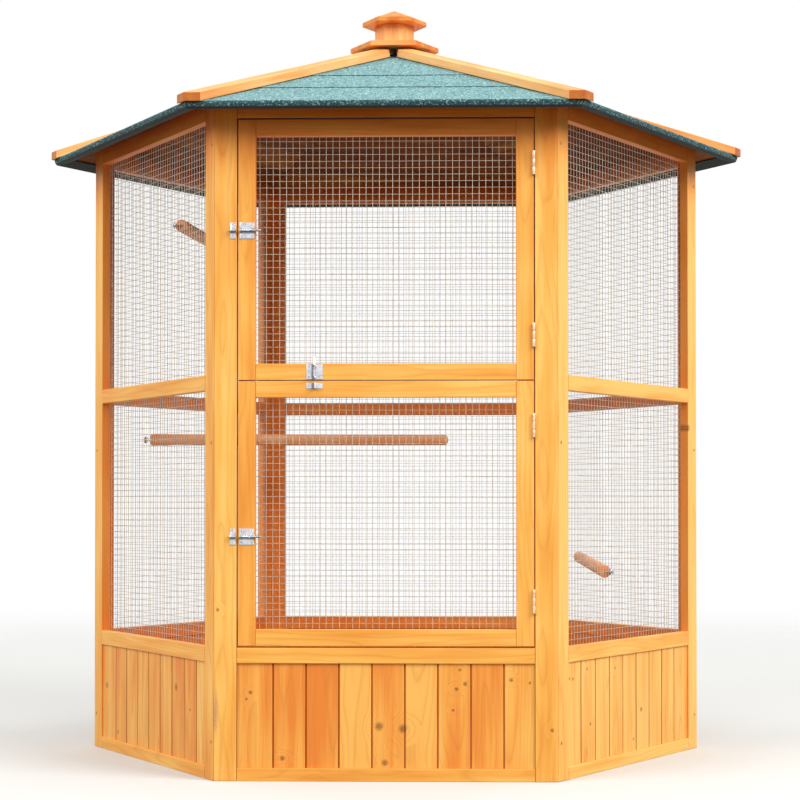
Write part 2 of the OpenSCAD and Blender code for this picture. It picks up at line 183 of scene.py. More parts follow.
# Planed pine, dipped in a honey-coloured stain that leaves a satin skin: pale sapwood, narrow
# year rings in darker orange, and brown knots that the rings bend round. The attribute grain
# holds each member's own metres (along, across, through) counted from the middle of its log.
# The fibres are far wider than real ones, so that they show.
pineLook = {"ringSpacing": 0.0045, "ringBend": 2.6, "bendFrom": 5.5, "bendTo": 0.8, "drift": 7.0,
            "knotEvery": 0.075, "knotSize": 0.0075, "knotRange": (0.5, 1.3), "knotEdge": (1.7, 1.2),
            "knotShades": [(0.5, 0.75), (0.62, 0.45), (0.85, 0.95), (1.0, 0.4)],
            "ringShades": [(0.0, 0.15), (0.3, 0.0), (0.7, 0.25), (0.9, 1.0), (1.0, 0.2)],
            "scatter": 0.9, "farAway": 50.0, "ragged": 260.0, "raggedBy": 0.7, "boardFace": 0.0042,
            "wander": (2.2, 11.0, 11.0), "streaks": (3.0, 42.0, 42.0), "blotches": (3.5, 9.0, 9.0),
            "fibres": (9.0, 1 / 0.0016, 1 / 0.0016), "shares": {"blotches": 0.7, "fibres": 0.35},
            # painted light: the front right panel's wood is paler, as if lit more strongly from the right
            "depths": (0.6, 1.45), "stops": (0.2, 0.5, 0.85), "paintedLightBySide": {"front_right": -0.16},
            # painted shade, deeper and redder, on faces turned inwards and on the stiles' edges
            "inside": "#F4B090", "insideShadeShare": 0.8, "edgeShadeShare": 0.9,  # faces towards the birds
            "jointDirtAndShade": "#602E0C", "jointDirtAndShadeShare": 0.8,  # in joints and gaps
            # painted shade under the eaves: its heights, its tint, and a darker band right below them
            "eaveShade": (1.19, 1.44), "eaveShadeTint": "#FFB454",  # heights under the eaves
            "deepEaveShade": (1.39, 1.43), "deepEaveShadeTint": "#B48A66", "scuffRagged": 0.007, "scuffShare": 0.6,
            "roughSpread": 0.1, "relief": 0.0003, "bump": 0.35, "ior": 1.5, "coat": 0.06,
            "coatRough": 0.35}


def stainedWood(name, pale, mid, deep, ring, knot, inside=pineLook["inside"], knots=0.02, rings=0.3,
                ownKnots={}, knotDepth=0.0, endShare=0.7, endTint=None, eaveShade=0.0, scuff=None,
                rough=0.5, gloss=0.3):
    material, tree, shader = newMaterial(name)
    place = addNode(tree, "TexCoord").outputs["Object"]
    grain = addNode(tree, "Attribute", attribute_name="grain").outputs["Vector"]
    tone, ends, inner, jointDirtAndShade = [addNode(tree, "Attribute", attribute_name=label).outputs["Fac"]
                               for label in ("tone", "endGrain", "inner", "jointDirtAndShade")]

    # A knot is a branch that comes through the member, so its cells lie in the plane of the face.
    cells = addNode(tree, "TexVoronoi", {"Vector": grain, "Scale": 1 / pineLook["knotEvery"],
                    "Randomness": pineLook["scatter"]}, voronoi_dimensions="2D")
    pick = addNode(tree, "SeparateColor", {0: cells.outputs["Color"]})
    missing = addNode(tree, "Math", {0: pick, 1: knots}, operation="GREATER_THAN")
    least, most = [pineLook["knotSize"] / pineLook["knotEvery"] * share for share in pineLook["knotRange"]]
    size = addNode(tree, "MapRange", {0: pick.outputs[1], 3: least, 4: most})
    away = addNode(tree, "Math", {0: cells, 1: size}, operation="DIVIDE")
    away = addNode(tree, "Math", {0: missing, 1: pineLook["farAway"], 2: away}, operation="MULTIPLY_ADD")
    for side, (x, z, wide) in [(side, knot) for side in ownKnots for knot in ownKnots[side]]:
        middle = panelFrame(turnsOf[side]) @ Vector((x, knotDepth, z))
        reach = addNode(tree, "VectorMath", {0: place, 1: middle}, operation="DISTANCE")
        near = addNode(tree, "Math", {0: reach.outputs["Value"], 1: wide}, operation="DIVIDE")
        away = addNode(tree, "Math", {0: near, 1: away}, operation="MINIMUM")
    ragged = addNode(tree, "TexNoise", {"Vector": place, "Scale": pineLook["ragged"]})
    away = addNode(tree, "Math", {0: ragged, 1: pineLook["raggedBy"], 2: away}, operation="MULTIPLY_ADD")
    spot = addNode(tree, "ValToRGB", {0: away})
    setStops(spot.color_ramp, pineLook["knotShades"])
    outer, full = pineLook["knotEdge"]
    edge = addNode(tree, "MapRange", {0: away, 1: outer, 2: full}, interpolation_type="SMOOTHSTEP")
    spot = addNode(tree, "Math", {0: spot, 1: edge}, operation="MULTIPLY")
    bend = addNode(tree, "MapRange", {0: away, 1: pineLook["bendFrom"], 2: pineLook["bendTo"],
                   4: pineLook["ringBend"]}, interpolation_type="SMOOTHSTEP")

    # Year rings round the pith, which wanders a little along the member.
    wander = addNode(tree, "VectorMath", {0: grain, 1: pineLook["wander"]}, operation="MULTIPLY")
    drift = addNode(tree, "TexNoise", {"Vector": wander, "Scale": 1.0})
    parts = addNode(tree, "SeparateXYZ", {0: grain})
    flat = addNode(tree, "CombineXYZ", {1: parts.outputs[1], 2: parts.outputs[2]})
    radius = addNode(tree, "VectorMath", {0: flat}, operation="LENGTH")
    year = addNode(tree, "Math", {0: radius.outputs["Value"], 1: 1 / pineLook["ringSpacing"],
                   2: bend}, operation="MULTIPLY_ADD")
    year = addNode(tree, "Math", {0: drift, 1: pineLook["drift"], 2: year}, operation="MULTIPLY_ADD")
    phase = addNode(tree, "Math", {0: year}, operation="FRACT")
    late = addNode(tree, "ValToRGB", {0: phase})
    setStops(late.color_ramp, pineLook["ringShades"])

    # The stain takes in long streaks.
    layers = {}
    for layer in ("streaks", "blotches", "fibres"):
        ways = addNode(tree, "VectorMath", {0: grain, 1: pineLook[layer]}, operation="MULTIPLY")
        layers[layer] = addNode(tree, "TexNoise", {"Vector": ways, "Scale": 1.0})
    depth = addNode(tree, "Math", {0: layers["streaks"], 1: tone}, operation="ADD")
    for layer, share in pineLook["shares"].items():
        depth = addNode(tree, "Math", {0: layers[layer], 1: share, 2: depth}, operation="MULTIPLY_ADD")
    least, most = pineLook["depths"]
    depth = addNode(tree, "MapRange", {0: depth, 1: least, 2: most})
    colour = addNode(tree, "ValToRGB", {0: depth})
    setStops(colour.color_ramp, list(zip(pineLook["stops"], map(linear, (pale, mid, deep)))))

    # Under the eaves a painted shade makes the stain deeper and redder, and right below them a darker
    # painted shade darkens it further.
    high = addNode(tree, "SeparateXYZ", {0: place}).outputs[2]
    low, top = pineLook["eaveShade"]
    underEaves = addNode(tree, "MapRange", {0: high, 1: low, 2: top}, interpolation_type="SMOOTHERSTEP")
    underEaves = addNode(tree, "Math", {0: underEaves, 1: inner}, operation="SUBTRACT", use_clamp=True)
    low, top = pineLook["deepEaveShade"]
    deepEaveShade = addNode(tree, "MapRange", {0: high, 1: low, 2: top}, interpolation_type="SMOOTHSTEP")
    for mask, share, tint, blend in (
            (late, rings, ring, "MIX"),
            (ends, endShare, endTint or deep, "MULTIPLY"),
            # painted shade on the faces turned inwards
            (inner, pineLook["insideShadeShare"], inside, "MULTIPLY"),
            (spot, 1, knot, "MIX"),
            # painted shade under the eaves
            (underEaves, eaveShade, pineLook["eaveShadeTint"], "MULTIPLY"),
            (deepEaveShade, eaveShade, pineLook["deepEaveShadeTint"], "MULTIPLY"),
            # dirt and painted shade in the joints and gaps
            (jointDirtAndShade, pineLook["jointDirtAndShadeShare"], pineLook["jointDirtAndShade"], "MIX")):
        amount = addNode(tree, "Math", {0: mask, 1: share}, operation="MULTIPLY")
        colour = addNode(tree, "Mix", {0: amount, 6: colour, 7: linear(tint)},
                         data_type="RGBA", blend_type=blend).outputs[2]
    if scuff:
        offset = addNode(tree, "VectorMath", {0: place, 1: scuff["at"]}, operation="SUBTRACT")
        offset = addNode(tree, "VectorMath", {0: offset, 1: (1.0, 1.0, scuff["squash"])},
                         operation="MULTIPLY")
        reach = addNode(tree, "VectorMath", {0: offset}, operation="LENGTH")
        reach = addNode(tree, "Math", {0: ragged, 1: pineLook["scuffRagged"],
                        2: reach.outputs["Value"]}, operation="MULTIPLY_ADD")
        mark = addNode(tree, "MapRange", {0: reach, 1: scuff["wide"] * 2, 2: scuff["wide"] * 0.8,
                       4: pineLook["scuffShare"]}, interpolation_type="SMOOTHSTEP")
        colour = addNode(tree, "Mix", {0: mark, 6: colour, 7: linear(scuff["colour"])},
                         data_type="RGBA").outputs[2]

    # The open pores swallow part of the sheen, and the dirt and painted shade in the joints all of it.
    least, most = rough - pineLook["roughSpread"], rough + pineLook["roughSpread"]
    sheen = addNode(tree, "MapRange", {0: layers["fibres"], 3: least, 4: most})
    sheen = addNode(tree, "Math", {0: jointDirtAndShade, 1: 0.5, 2: sheen}, operation="MULTIPLY_ADD", use_clamp=True)
    relief = addNode(tree, "Math", {0: late, 1: 0.5, 2: layers["fibres"]}, operation="MULTIPLY_ADD")
    bump = addNode(tree, "Bump", {"Strength": pineLook["bump"], "Distance": pineLook["relief"],
                   "Height": relief})
    setInputs(tree, shader, {"Base Color": colour, "Roughness": sheen, "Normal": bump,
                             "IOR": pineLook["ior"], "Specular IOR Level": gloss,
                             "Coat Weight": pineLook["coat"], "Coat Roughness": pineLook["coatRough"]})
    return material


honeyPine = stainedWood("honeyStainedPine", pale="#FEC467", mid="#F8AF4E", deep="#EA943A", ring="#CC7C2A",
                        knot="#7A421C", inside="#FAB898", knots=0.014, eaveShade=0.8,
                        ownKnots={"front": ((-0.352, 0.358, 0.0035), (0.347, 0.108, 0.004))},
                        scuff={"at": (-0.357, -0.622, 0.14), "wide": 0.006, "squash": 0.13,
                               "colour": "#B07868"})
redderPine = {"pale": "#FAC380", "mid": "#F3A85E", "deep": "#DF843E", "ring": "#C4742F", "knot": "#7A421C"}
capPine = stainedWood("honeyStainedCapPine", **redderPine, endTint="#EACE7C")
# The hip caps' ends are darker than end grain alone makes them: painted shade on the ends.
hipPine = stainedWood("honeyStainedHipCaps", **redderPine, endTint="#C49A58", endShare=0.9)
# The knots that every board shows in its own place: along the panel, up it, and how wide.
sideKnots = {"front_right": ((-0.300, 0.211, 0.0035), (-0.284, 0.209, 0.0035), (-0.217, 0.226, 0.0035),
                             (-0.202, 0.107, 0.004), (-0.080, 0.219, 0.0035), (0.056, 0.117, 0.005),
                             (0.015, 0.054, 0.0035)),
             "front_left": ((-0.285, 0.151, 0.007), (-0.212, 0.047, 0.0045), (0.222, 0.137, 0.0035))}
frontKnots = {"front": ((-0.283, 0.185, 0.004), (-0.292, 0.171, 0.003), (-0.216, 0.048, 0.005),
                        (-0.014, 0.115, 0.0085), (0.036, 0.110, 0.0085), (-0.002, 0.039, 0.0065),
                        (0.155, 0.233, 0.003), (0.166, 0.204, 0.0045), (0.148, 0.193, 0.004),
                        (0.141, 0.149, 0.003), (0.262, 0.212, 0.0045), (0.301, 0.206, 0.003))}
skirtPine = stainedWood("honeyStainedMatchboard", pale="#FCC066", mid="#F4A84A", deep="#E88433",
                        ring="#C87426", knot="#7C4620", ownKnots=sideKnots, knotDepth=pineLook["boardFace"])
frontPine = stainedWood("honeyStainedFrontBoards", pale="#FAB85C", mid="#F4A549", deep="#E88433",
                        ring="#C87426", knot="#6A3F20", knots=0.0, ownKnots=frontKnots,
                        knotDepth=pineLook["boardFace"])
# The roof boards take a darker, redder copy of the honey stain: painted shade.
shadedRoofPine = stainedWood("roofBoardsInPaintedShade", pale="#A86A28", mid="#8C4A16", deep="#6A300C",
                       ring="#5E2812", knot="#421A0C", knots=0.06, rough=0.75, gloss=0.15)
dowelWood = stainedWood("stainedHardwoodDowel", pale="#FFBE8C", mid="#FAAA6E", deep="#E69058",
                        ring="#8E4526", knot="#6A3018", knots=0.0, rings=0.2, endShare=0.25)

# Roofing felt: bitumen sheet rolled with crushed green slate, pale grains among dark ones, matt
# and rough. The more a face turns from straight up, as round the eaves and at the cut laps, the darker its
# grit: partly wear, partly painted shade.
feltLook = {"grain": 0.0028, "patches": 14.0, "wearAndShade": (0.12, 1.15), "under": "#1A2122",
            "slate": [(0.0, "#2E5C5C"), (0.2, "#4C7B7D"), (0.45, "#5F8D8F"), (0.8, "#75A0A3"),
                      (1.0, "#BBDADA")],
            "dark": [(0.0, "#14282A"), (0.5, "#24444A"), (0.8, "#335A5E"), (1.0, "#7FA3A4")],
            "relief": 0.0008, "bump": 0.6, "patchShare": 0.35, "rough": 0.88, "ior": 1.5,
            "laps": (0.532, 0.360), "step": 0.0016, "wave": 0.0008,  # laps, from the roof's middle
            "across": 26, "along": 0.03, "waves": 9, "level": 0.0003, "topFrom": 0.1,
            "wornAndShadedFrom": 0.93, "wornAndShadedOver": 0.35, "turnedUnder": -0.35, "turnedIn": (-0.2, 0.5),
            "smoothTo": 35}


def slateFelt():
    material, tree, shader = newMaterial("greenMineralFelt")
    place = addNode(tree, "TexCoord").outputs["Object"]
    wornAndShaded, under = [addNode(tree, "Attribute", attribute_name=label).outputs["Fac"]
                   for label in ("wornAndShaded", "under")]
    grit = addNode(tree, "TexVoronoi", {"Vector": place, "Scale": 1 / feltLook["grain"]})
    pick = addNode(tree, "SeparateColor", {0: grit.outputs["Color"]})
    grains = []
    for tone in ("slate", "dark"):
        grains.append(addNode(tree, "ValToRGB", {0: pick}))
        setStops(grains[-1].color_ramp, [(share, linear(colour)) for share, colour in feltLook[tone]])
    patch = addNode(tree, "TexNoise", {"Vector": place, "Scale": feltLook["patches"], "Detail": 3.0})
    wearAndShade = addNode(tree, "Math", {0: patch, 1: feltLook["patchShare"], 2: wornAndShaded}, operation="MULTIPLY_ADD")
    least, most = feltLook["wearAndShade"]
    wearAndShade = addNode(tree, "MapRange", {0: wearAndShade, 1: least, 2: most})
    colour = addNode(tree, "Mix", {0: wearAndShade, 6: grains[0], 7: grains[1]}, data_type="RGBA")
    colour = addNode(tree, "Mix", {0: under, 6: colour.outputs[2], 7: linear(feltLook["under"])},
                     data_type="RGBA")
    rise = addNode(tree, "Math", {0: grit, 1: -1.0}, operation="MULTIPLY")
    bump = addNode(tree, "Bump", {"Strength": feltLook["bump"], "Distance": feltLook["relief"],
                   "Height": rise})
    setInputs(tree, shader, {"Base Color": colour.outputs[2], "Normal": bump, "IOR": feltLook["ior"],
                             "Roughness": feltLook["rough"]})
    return material


# Zinc on steel: the bright plated skin of bolts, with faint clouding, fine drawing lines and painted
# shade on what faces down, the yellower one of hinges and screws, and the wire's hot-dip coat.
metalLook = {"cloud": 0.009, "tints": (0.35, 0.62), "skin": (0.3, 0.7), "line": 0.0004, "bump": 0.05,
             "relief": 0.0001, "undersideShade": "#3C3A3C", "undersideShadeFull": 0.3}


def zincSteel(name, bright, dull, rough, spread, metallic=1.0):
    material, tree, shader = newMaterial(name)
    place = addNode(tree, "TexCoord").outputs["Object"]
    cloud = addNode(tree, "TexNoise", {"Vector": place, "Scale": 1 / metalLook["cloud"], "Detail": 3.0})
    tint = addNode(tree, "ValToRGB", {0: cloud})
    setStops(tint.color_ramp, list(zip(metalLook["tints"], (linear(dull), linear(bright)))))
    below, rodShadow = [addNode(tree, "Attribute", attribute_name=label).outputs["Fac"]
                    for label in ("shadedUnderside", "rodShadow")]
    # painted shade on downward faces and a painted shadow below the rods
    shadedUnderside = addNode(tree, "Math", {0: below, 1: rodShadow}, operation="MAXIMUM")
    colour = addNode(tree, "Mix", {0: shadedUnderside, 6: tint, 7: linear(metalLook["undersideShade"])}, data_type="RGBA")
    least, most = metalLook["skin"]
    skin = addNode(tree, "MapRange", {0: cloud, 1: least, 2: most, 3: rough - spread, 4: rough + spread})
    lines = addNode(tree, "TexNoise", {"Vector": place, "Scale": 1 / metalLook["line"], "Detail": 1.0})
    bump = addNode(tree, "Bump", {"Strength": metalLook["bump"], "Distance": metalLook["relief"],
                   "Height": lines})
    setInputs(tree, shader, {"Base Color": colour.outputs[2], "Roughness": skin, "Normal": bump,
                             "Metallic": metallic})
    return material


mineralFelt = slateFelt()
brightZinc = zincSteel("brightZincPlatedSteel", "#E0E2E8", "#C4C7CE", 0.26, 0.08)
hingeZinc = zincSteel("paleYellowZincHinges", "#ECCFB0", "#D8B490", 0.4, 0.06)
dullZinc = zincSteel("hotDipGalvanisedWire", "#D8CDBC", "#BFB4A4", 0.42, 0.08, metallic=0.7)
yellowZinc = zincSteel("yellowPassivatedScrews", "#C99A55", "#A87A3C", 0.35, 0.06)
print("materials made")


def islandsOf(bm):
    bm.verts.index_update()
    bm.verts.ensure_lookup_table()
    seen = set()
    for first in bm.verts:
        if first.index in seen:
            continue
        island = [first]
        seen.add(first.index)
        for vert in island:
            for edge in vert.link_edges:
                other = edge.other_vert(vert)
                if other.index not in seen:
                    seen.add(other.index)
                    island.append(other)
        yield island


# How a member lies: its own directions along the grain, across it and through it.
def panelLay(turn):
    along, inwards, up = turn.col

    def lay(points):
        width = max(p.dot(along) for p in points) - min(p.dot(along) for p in points)
        height = max(p.z for p in points) - min(p.z for p in points)
        return (up, along, inwards) if height > width else (along, up, inwards)
    return lay


def outwards(points):
    centre = sum(points, Vector()) / len(points)
    return Vector((centre.x, centre.y, 0)).normalized()


# The finial's cap is cut across its board and shows end grain in front. Its neck's grain is upright.
def blockLay(axes):
    rows = Matrix.Identity(3)
    return lambda points: [rows[axis] for axis in axes]


def perchLay(points):
    out = outwards(points)
    return Vector((-out.y, out.x, 0)), out, Vector((0, 0, 1))


def slopingLay(slope, level):
    def lay(points):
        out = outwards(points)
        down = out * math.cos(slope) - Vector((0, 0, math.sin(slope)))
        side = Vector((-out.y, out.x, 0))
        return (side, down, side.cross(down)) if level else (down, side, down.cross(side))
    return lay


# The faces in the gaps round the doors are darkened: partly dirt, partly painted shade.
gapLook = {"frame": ("front_stiles", "front_rails"), "doors": ("upper_door_stiles", "lower_door_stiles"),
           "reach": 0.006, "facing": 0.7}
doorEdges = {way: [corner[way] for door in gapLook["doors"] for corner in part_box(door)] for way in (0, 2)}


def inDoorGap(face):
    for way, edges in doorEdges.items():
        nearest = min(abs(face.center[way] - edge) for edge in edges)
        if abs(face.normal[way]) > gapLook["facing"] and nearest < gapLook["reach"]:
            return True
    return False


# Where a member lay in its log, in metres, and how far a face turns along it to be end grain.
memberLook = {"along": (0, 40), "across": (-0.03, 0.03), "through": (0.03, 0.09), "endsFrom": 0.35,
              "ease": 0.0012, "easeFrom": 20, "spread": 0.14, "smoothTo": 32}


def woodPiece(name, bm, node, material, lay, ease=memberLook["ease"], spread=memberLook["spread"],
              inwards=None, smooth=False, tones=None):
    mergeFlat(bm)
    bmesh.ops.recalc_face_normals(bm, faces=bm.faces)
    easeEdges(bm, ease, memberLook["easeFrom"])
    grain = np.zeros((len(bm.verts), 3), np.float32)
    tone = np.zeros(len(bm.verts), np.float32)
    lengthwise = {}
    dice = random.Random(name)
    islands = sorted(islandsOf(bm), key=lambda island: sum(v.co.x for v in island) / len(island))
    for number, island in enumerate(islands):
        points = [v.co.copy() for v in island]
        axes = lay(points)
        centre = sum(points, Vector()) / len(points)
        pith = [dice.uniform(*memberLook[way]) for way in ("along", "across", "through")]
        shade = tones[number] if tones else dice.uniform(-spread, spread)
        # Painted light: the front right panel is toned paler.
        shade += pineLook["paintedLightBySide"].get(sideOf(node), 0.0)
        for vert in island:
            grain[vert.index] = [(vert.co - centre).dot(axis) + p for axis, p in zip(axes, pith)]
            tone[vert.index] = shade
            lengthwise[vert.index] = axes[0]
    mesh = meshFrom(bm, name)
    mesh.attributes.new("grain", "FLOAT_VECTOR", "POINT").data.foreach_set("vector", grain.ravel())
    keepValues(mesh, "tone", "POINT", tone)
    ends = [float(abs(f.normal.dot(lengthwise[f.vertices[0]])) > memberLook["endsFrom"])
            for f in mesh.polygons]
    keepValues(mesh, "endGrain", "FACE", ends)
    # Painted shade: faces turned inwards, and the edge faces of stiles, take a deeper, redder tint.
    inner = [f.normal.dot(inwards) if inwards else 0.0 for f in mesh.polygons]
    edgeShadeShare = pineLook["edgeShadeShare"] if node.endswith("_stiles") else 0.0
    inner = [max(way, edgeShadeShare * (1 - abs(way))) if inwards else 0.0 for way in inner]
    keepValues(mesh, "inner", "FACE", inner)
    byGap = node in gapLook["frame"] or node.startswith(("upper_", "lower_"))
    keepValues(mesh, "jointDirtAndShade", "FACE", [float(byGap and inDoorGap(f)) for f in mesh.polygons])
    if smooth:
        smoothUpTo(mesh, memberLook["smoothTo"])
    return replaceNode(name, mesh, node, material)


def woodFromNode(node, material, lay, **settings):
    return woodPiece(node + "_wood", copyOf(node), node, material, lay, **settings)


# The roof's slope, from the largest face of the roof boards that looks up and straight to the front.
slopeFacing = {"up": 0.5, "sideways": 0.01, "back": -0.1}
frontFaces = [f for f in nodes["roof_boards"].data.polygons if f.normal.z > slopeFacing["up"]
              and abs(f.normal.x) < slopeFacing["sideways"] and f.normal.y < slopeFacing["back"]]
largestFace = max(frontFaces, key=lambda f: f.area)
pitch = math.atan2(-largestFace.normal.y, largestFace.normal.z)
hipPitch = math.atan(math.tan(pitch) * math.cos(sixth / 2))

# The doors are a little fuller than their solids, for the narrow gaps that joinery really has.
doorLook = {"fuller": {0: 0.0029, 2: 0.0019}}


def fullerDoor(bm, ways):
    for way in ways:
        for pick, grow in ((min, -1), (max, 1)):
            edge = pick(v.co[way] for v in bm.verts)
            for vert in bm.verts:
                if abs(vert.co[way] - edge) < meshing["near"]:
                    vert.co[way] += grow * doorLook["fuller"][way]


for node in nodes:
    if node.endswith("_stiles") or node.endswith("_rails"):
        turn = frameOf(node).to_3x3()
        bm = copyOf(node)
        if "_door_" in node:
            fullerDoor(bm, (0, 2) if node.endswith("_stiles") else (2,))
        woodPiece(node + "_wood", bm, node, honeyPine, panelLay(turn), inwards=turn.col[1])
# The caps and the finial are more worn at their edges than the frames, the dowels are round.
capLook = {"ease": 0.0015, "finialSpread": 0.1, "perchEase": 0.0008}
for node, axes in (("finial_base", (0, 1, 2)), ("finial_neck", (2, 0, 1)), ("finial_cap", (1, 0, 2))):
    woodFromNode(node, capPine, blockLay(axes), ease=capLook["ease"], spread=capLook["finialSpread"])
woodFromNode("hip_caps", hipPine, slopingLay(hipPitch, False), ease=capLook["ease"])
woodFromNode("perches", dowelWood, perchLay, ease=capLook["perchEase"], smooth=True)
print("frames, doors, caps, finial and perches made")

# Skirts: tongue-and-groove boards, each a solid of its own. A joint is a V with a narrow slot at
# its foot, closed by the tongue behind, and darkened by pooled stain and painted shade.
skirtLook = {"groove": {True: 0.0052, False: 0.004}, "dirtAndShade": {True: 0.1, False: 0.7},  # is it in front?
             "depth": 0.0025, "slot": 0.0011, "tongue": 0.0065, "gap": 0.0001, "uneven": 0.0005,
             "edge": 0.0005, "ease": 0.0004, "pooledStainAndShade": 0.6, "pool": 0.0016, "behind": 0.002, "spread": 0.07,
             "frontTones": (-0.04, 0.08, 0.3, -0.18, 0.04, -0.13, 0.02, 0.02, -0.07)}


def skirt(node):
    place = frameOf(node)
    turn = place.to_3x3()
    dice = random.Random(node)
    points = [place.inverted() @ v.co for v in nodes[node].data.vertices]
    left, right = min(p.x for p in points), max(p.x for p in points)
    low, high = min(p.z for p in points), max(p.z for p in points)
    face, back = min(p.y for p in points), max(p.y for p in points)
    joints = sorted({round(p.x, 4) for p in points
                     if face + skirtLook["edge"] < p.y < back - skirtLook["edge"]})
    edges = [left] + joints + [right]
    front = node == "front_boards"
    bm = bmesh.new()
    for number, (start, end) in enumerate(zip(edges, edges[1:])):
        y = face + dice.uniform(0, skirtLook["uneven"])
        deep, inner = y + skirtLook["depth"], y + skirtLook["tongue"]
        x0, x1 = start + skirtLook["gap"], end - skirtLook["gap"]
        half, slot = skirtLook["groove"][front] / 2, skirtLook["slot"] / 2
        rightEdge = [(x1 - half, y), (x1 - slot, deep), (x1 - slot, inner), (x1, inner), (x1, back)]
        leftEdge = [(x0, back), (x0, inner), (x0 + slot, inner), (x0 + slot, deep), (x0 + half, y)]
        if number == len(edges) - 2:
            rightEdge = [(x1, y), (x1, back)]
        if number == 0:
            leftEdge = [(x0, back), (x0, y)]
        outline = rightEdge + leftEdge
        rings = [[bm.verts.new(place @ Vector((a, b, z))) for a, b in outline] for z in (low, high)]
        bm.faces.new(rings[0][::-1])
        bm.faces.new(rings[1])
        for i in range(len(outline)):
            bm.faces.new((rings[0][i - 1], rings[0][i], rings[1][i], rings[1][i - 1]))
    piece = woodPiece(node + "_planks", bm, node, frontPine if front else skirtPine, panelLay(turn),
                      ease=skirtLook["ease"], spread=skirtLook["spread"], inwards=turn.col[1],
                      tones=skirtLook["frontTones"] if front else None)
    # Deep in each joint: pooled stain and painted shade, darkest in the narrow slot.
    tone = piece.data.attributes["tone"].data
    for vert in piece.data.vertices:
        inside = (place.inverted() @ vert.co).y
        if face + skirtLook["pool"] < inside < back - skirtLook["behind"]:
            tone[vert.index].value += skirtLook["pooledStainAndShade"]
    dirtAndShade = piece.data.attributes["jointDirtAndShade"].data
    for part in piece.data.polygons:
        inside = (place.inverted() @ part.center).y - face
        if skirtLook["uneven"] + skirtLook["edge"] < inside < back - face - skirtLook["behind"]:
            dirtAndShade[part.index].value = skirtLook["dirtAndShade"][front] if inside < skirtLook["depth"] else 1.0


for node in nodes:
    if node.endswith("_boards") and node != "roof_boards":
        skirt(node)
print("skirts made")


# A slope's section, from the end face over the hip: heights h above the slope, along s up it.
def slopeSection(node):
    bm = copyOf(node)
    mergeFlat(bm)
    across = Vector((math.cos(sixth / 2), math.sin(sixth / 2), 0))
    hip = Vector((math.sin(sixth / 2), -math.cos(sixth / 2), 0))
    ends = [f for f in bm.faces if f.normal.dot(across) > 0.999 and f.calc_center_median().dot(hip) > 0]
    corners = [v.co.copy() for v in max(ends, key=lambda f: f.calc_area()).verts]
    bm.free()
    gap = min(-c.y * math.tan(sixth / 2) - c.x for c in corners)
    toSlope = Matrix.Rotation(-pitch, 3, "X")
    section = [toSlope @ Vector((0, c.y, c.z)) for c in corners]
    return [(p.y, p.z) for p in section], gap


def slopePoint(s, h, share, gap, turn):
    p = Matrix.Rotation(pitch, 3, "X") @ Vector((0, s, h))
    p.x = share * (-p.y * math.tan(sixth / 2) - gap)
    return turn @ p


# Roof boards: level boards under the felt, laid from the eaves up.
deckLook = {"cover": 0.095, "gap": 0.0004, "least": 0.01, "ease": 0.0018, "spread": 0.2}


def cutSection(section, low, high):
    for limit, sign in ((low, 1), (high, -1)):
        kept = []
        for (s0, h0), (s1, h1) in zip(section, section[1:] + section[:1]):
            in0, in1 = (s0 - limit) * sign >= 0, (s1 - limit) * sign >= 0
            if in0:
                kept.append((s0, h0))
            if in0 != in1:
                share = (limit - s0) / (s1 - s0)
                kept.append((limit, h0 + (h1 - h0) * share))
        section = kept
    return section


def skinRows(bm, rows):
    bm.faces.new(rows[0])
    bm.faces.new(rows[-1][::-1])
    for row, nextRow in zip(rows, rows[1:]):
        for i in range(len(row)):
            bm.faces.new((row[i], row[i - 1], nextRow[i - 1], nextRow[i]))


deck, deckGap = slopeSection("roof_boards")
eave, ridge = min(s for s, h in deck), max(s for s, h in deck)
bm = bmesh.new()
for sixths in range(6):
    turn = Matrix.Rotation(sixth * sixths, 3, "Z")
    low = eave
    while low < ridge - deckLook["least"]:
        high = min(low + deckLook["cover"], ridge)
        board = cutSection(deck, low + deckLook["gap"] / 2, high - deckLook["gap"] / 2)
        skinRows(bm, [[bm.verts.new(slopePoint(s, h, share, deckGap, turn)) for s, h in board]
                      for share in (-1, 1)])
        low = high
woodPiece("roofDeck", bm, "roof_boards", shadedRoofPine, slopingLay(pitch, True), ease=deckLook["ease"],
          spread=deckLook["spread"])
print("roof boards laid")

# Felt: one sheet for each slope in courses that lap, rolled round the eaves and turned back.
felt, feltGap = slopeSection("roof_felt")
topHeight = max(h for s, h in felt)
lapPlaces = [(-a + topHeight * math.sin(pitch)) / math.cos(pitch) for a in feltLook["laps"]]


def feltOutline():
    outline = []
    for (s0, h0), (s1, h1) in zip(felt, felt[1:] + felt[:1]):
        belowTop = max(topHeight - h0, topHeight - h1) > feltLook["level"]
        if belowTop or abs(s1 - s0) < feltLook["topFrom"]:
            outline.append((s0, h0, 0))
            continue
        climbs = s1 > s0
        low, high = min(s0, s1), max(s0, s1)
        run = []
        for start, end in zip([low] + lapPlaces, lapPlaces + [high]):
            steps = max(2, round((end - start) / feltLook["along"]))
            for i in range(steps + 1):
                run.append((start + (end - start) * i / steps, topHeight - feltLook["step"] * i / steps, 1))
        run = run if climbs else run[::-1]
        outline += run[:-1]
    return outline


